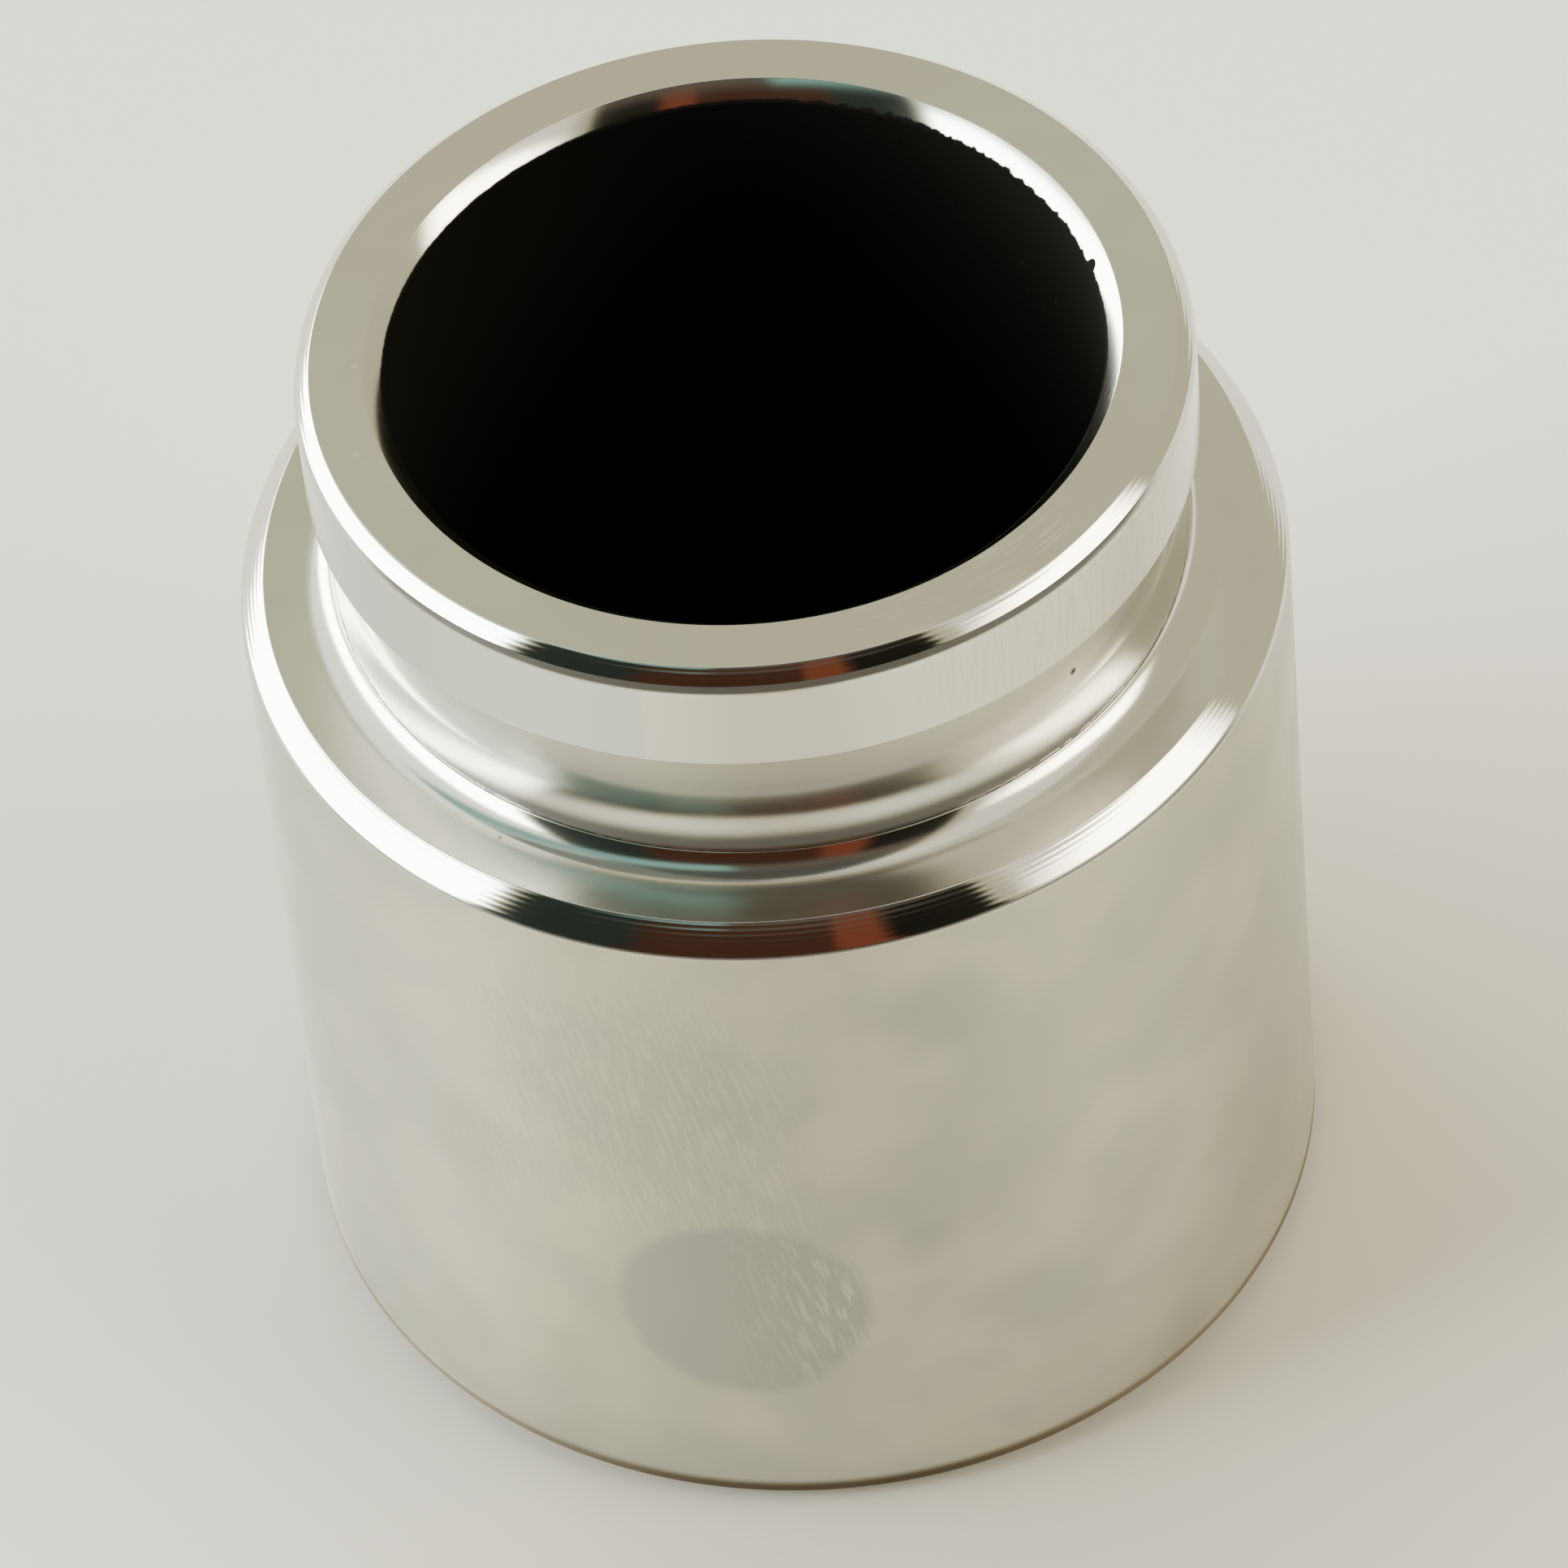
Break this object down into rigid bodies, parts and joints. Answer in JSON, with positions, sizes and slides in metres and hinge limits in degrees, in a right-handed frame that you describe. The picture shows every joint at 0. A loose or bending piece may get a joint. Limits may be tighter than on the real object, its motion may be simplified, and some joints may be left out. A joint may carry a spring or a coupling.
{
  "type": "brake caliper piston",
  "caption": "Plated steel disc-brake caliper piston: hollow cup, mouth up, with a boot groove under the lip.",
  "frame": {"origin": "centre of the closed end's outer face", "axes": "+Z along the piston's axis from the closed end to the mouth; -Y faces the picture's camera; +X is the picture's right"},
  "size_m": [0.048, 0.048, 0.0532],
  "materials": {
    "piston": "satin plated steel, turned"
  },
  "bodies": {
    "root": {"piston": "piston"}
  },
  "joints": []
}
